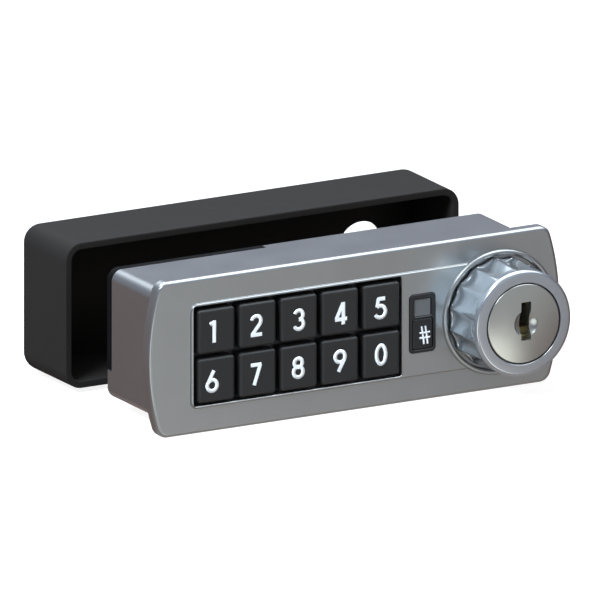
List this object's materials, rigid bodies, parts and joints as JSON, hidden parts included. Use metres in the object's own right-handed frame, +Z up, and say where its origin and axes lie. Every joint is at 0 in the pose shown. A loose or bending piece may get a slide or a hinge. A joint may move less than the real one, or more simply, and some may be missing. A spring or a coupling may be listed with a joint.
{
  "type": "electronic cabinet lock",
  "caption": "Keypad cabinet lock with a fluted knob and key override, its case drawn forward out of a black rear tray.",
  "frame": {"origin": "centre of the rear tray's flat back face", "axes": "+X right as the keypad is read, +Y away from the user through the tray's back, +Z up"},
  "size_m": [0.111, 0.0801, 0.038],
  "materials": {
    "satin_silver": "satin silver lacquer on a zinc casting",
    "plated_silver": "satin plated",
    "plug_metal": "turned and satin plated",
    "black_plastic": "fine matt moulding",
    "key_rubber": "matt key caps",
    "panel_plastic": "half gloss",
    "smoked_plastic": "smoked window",
    "grey_rubber": "silicone mat",
    "board_green": "solder mask",
    "chip_black": "matt",
    "bright_steel": "bright",
    "brass": "cut brass",
    "cell_wrap": "shrink wrap",
    "led_clear": "clear moulding",
    "white_nylon": "natural nylon"
  },
  "bodies": {
    "tray": {"rear_tray": "black_plastic"},
    "case": {"front_case": "satin_silver", "rear_cover": "black_plastic", "cover_screw_1": "bright_steel", "cover_screw_2": "bright_steel", "cover_screw_3": "bright_steel", "cover_screw_4": "bright_steel", "battery_door": "black_plastic", "battery_door_screw": "bright_steel", "battery_cradle": "black_plastic", "battery_cell": "cell_wrap", "battery_spring": "bright_steel", "battery_contact": "bright_steel", "keypad_mat": "grey_rubber", "keypad_board": "board_green", "controller_chip": "chip_black", "buzzer": "chip_black", "status_led": "led_clear", "status_window": "smoked_plastic", "indicator_bezel": "panel_plastic", "board_screw_1": "bright_steel", "board_screw_2": "bright_steel", "clutch_motor": "bright_steel", "motor_bracket": "black_plastic", "knob_bush": "white_nylon", "rear_bush": "white_nylon"},
    "knob": {"knob": "plated_silver", "knob_circlip": "bright_steel", "drive_plate": "bright_steel"},
    "plug": {"key_plug": "plug_metal", "plug_clip": "bright_steel"},
    "wafer_1": {"wafer_1": "brass"},
    "wafer_2": {"wafer_2": "brass"},
    "wafer_3": {"wafer_3": "brass"},
    "wafer_4": {"wafer_4": "brass"},
    "spindle": {"spindle": "bright_steel", "spindle_circlip": "bright_steel"},
    "clutch_pin": {"clutch_pin": "bright_steel", "clutch_spring": "bright_steel"},
    "clutch_yoke": {"clutch_yoke": "white_nylon"},
    "motor_screw": {"motor_screw": "brass"},
    "key_0": {"key_0": "key_rubber"},
    "key_1": {"key_1": "key_rubber"},
    "key_2": {"key_2": "key_rubber"},
    "key_3": {"key_3": "key_rubber"},
    "key_4": {"key_4": "key_rubber"},
    "key_5": {"key_5": "key_rubber"},
    "key_6": {"key_6": "key_rubber"},
    "key_7": {"key_7": "key_rubber"},
    "key_8": {"key_8": "key_rubber"},
    "key_9": {"key_9": "key_rubber"},
    "key_hash": {"key_hash": "panel_plastic"}
  },
  "joints": [
    {"name": "seat_slide", "type": "slide", "parent": "tray", "child": "case", "axis": [0, 1, 0], "range_m": [0, 0.0376]},
    {"name": "knob_turn", "type": "hinge", "parent": "case", "child": "knob", "pos_m": [0.0384, -0.0677, 0], "axis": [0, 1, 0], "range_deg": [0, 90]},
    {"name": "plug_turn", "type": "hinge", "parent": "knob", "child": "plug", "pos_m": [0.0384, -0.0801, 0], "axis": [0, 1, 0], "range_deg": [0, 90]},
    {"name": "wafer_1_lift", "type": "slide", "parent": "plug", "child": "wafer_1", "axis": [0, 0, 1], "range_m": [-0.0003, 0.0003], "stiffness_N_per_m": 50},
    {"name": "wafer_2_lift", "type": "slide", "parent": "plug", "child": "wafer_2", "axis": [0, 0, 1], "range_m": [-0.0003, 0.0003], "stiffness_N_per_m": 50},
    {"name": "wafer_3_lift", "type": "slide", "parent": "plug", "child": "wafer_3", "axis": [0, 0, 1], "range_m": [-0.0003, 0.0003], "stiffness_N_per_m": 50},
    {"name": "wafer_4_lift", "type": "slide", "parent": "plug", "child": "wafer_4", "axis": [0, 0, 1], "range_m": [-0.0003, 0.0003], "stiffness_N_per_m": 50},
    {"name": "spindle_turn", "type": "hinge", "parent": "case", "child": "spindle", "pos_m": [0.0384, -0.0585, 0], "axis": [0, 1, 0], "range_deg": [0, 90]},
    {"name": "screw_turn", "type": "hinge", "parent": "case", "child": "motor_screw", "pos_m": [0.0242, -0.0533, -0.0088], "axis": [0, 1, 0], "range_deg": [0, 648]},
    {"name": "yoke_slide", "type": "slide", "parent": "case", "child": "clutch_yoke", "axis": [0, -1, 0], "range_m": [0, 0.0018]},
    {"name": "pin_slide", "type": "slide", "parent": "spindle", "child": "clutch_pin", "axis": [0, -1, 0], "range_m": [0, 0.0018], "deforming": ["clutch_spring"]},
    {"name": "key_0_press", "type": "slide", "parent": "case", "child": "key_0", "axis": [0, 1, 0], "range_m": [0, 0.0008], "stiffness_N_per_m": 1500},
    {"name": "key_1_press", "type": "slide", "parent": "case", "child": "key_1", "axis": [0, 1, 0], "range_m": [0, 0.0008], "stiffness_N_per_m": 1500},
    {"name": "key_2_press", "type": "slide", "parent": "case", "child": "key_2", "axis": [0, 1, 0], "range_m": [0, 0.0008], "stiffness_N_per_m": 1500},
    {"name": "key_3_press", "type": "slide", "parent": "case", "child": "key_3", "axis": [0, 1, 0], "range_m": [0, 0.0008], "stiffness_N_per_m": 1500},
    {"name": "key_4_press", "type": "slide", "parent": "case", "child": "key_4", "axis": [0, 1, 0], "range_m": [0, 0.0008], "stiffness_N_per_m": 1500},
    {"name": "key_5_press", "type": "slide", "parent": "case", "child": "key_5", "axis": [0, 1, 0], "range_m": [0, 0.0008], "stiffness_N_per_m": 1500},
    {"name": "key_6_press", "type": "slide", "parent": "case", "child": "key_6", "axis": [0, 1, 0], "range_m": [0, 0.0008], "stiffness_N_per_m": 1500},
    {"name": "key_7_press", "type": "slide", "parent": "case", "child": "key_7", "axis": [0, 1, 0], "range_m": [0, 0.0008], "stiffness_N_per_m": 1500},
    {"name": "key_8_press", "type": "slide", "parent": "case", "child": "key_8", "axis": [0, 1, 0], "range_m": [0, 0.0008], "stiffness_N_per_m": 1500},
    {"name": "key_9_press", "type": "slide", "parent": "case", "child": "key_9", "axis": [0, 1, 0], "range_m": [0, 0.0008], "stiffness_N_per_m": 1500},
    {"name": "key_hash_press", "type": "slide", "parent": "case", "child": "key_hash", "axis": [0, 1, 0], "range_m": [0, 0.0008], "stiffness_N_per_m": 1500}
  ],
  "couplings": [
    {"joint": "spindle_turn", "follows": "knob_turn", "ratio": 1},
    {"joint": "screw_turn", "follows": "yoke_slide", "rad_per_m": 6283.2},
    {"joint": "pin_slide", "follows": "yoke_slide", "ratio": 1}
  ]
}
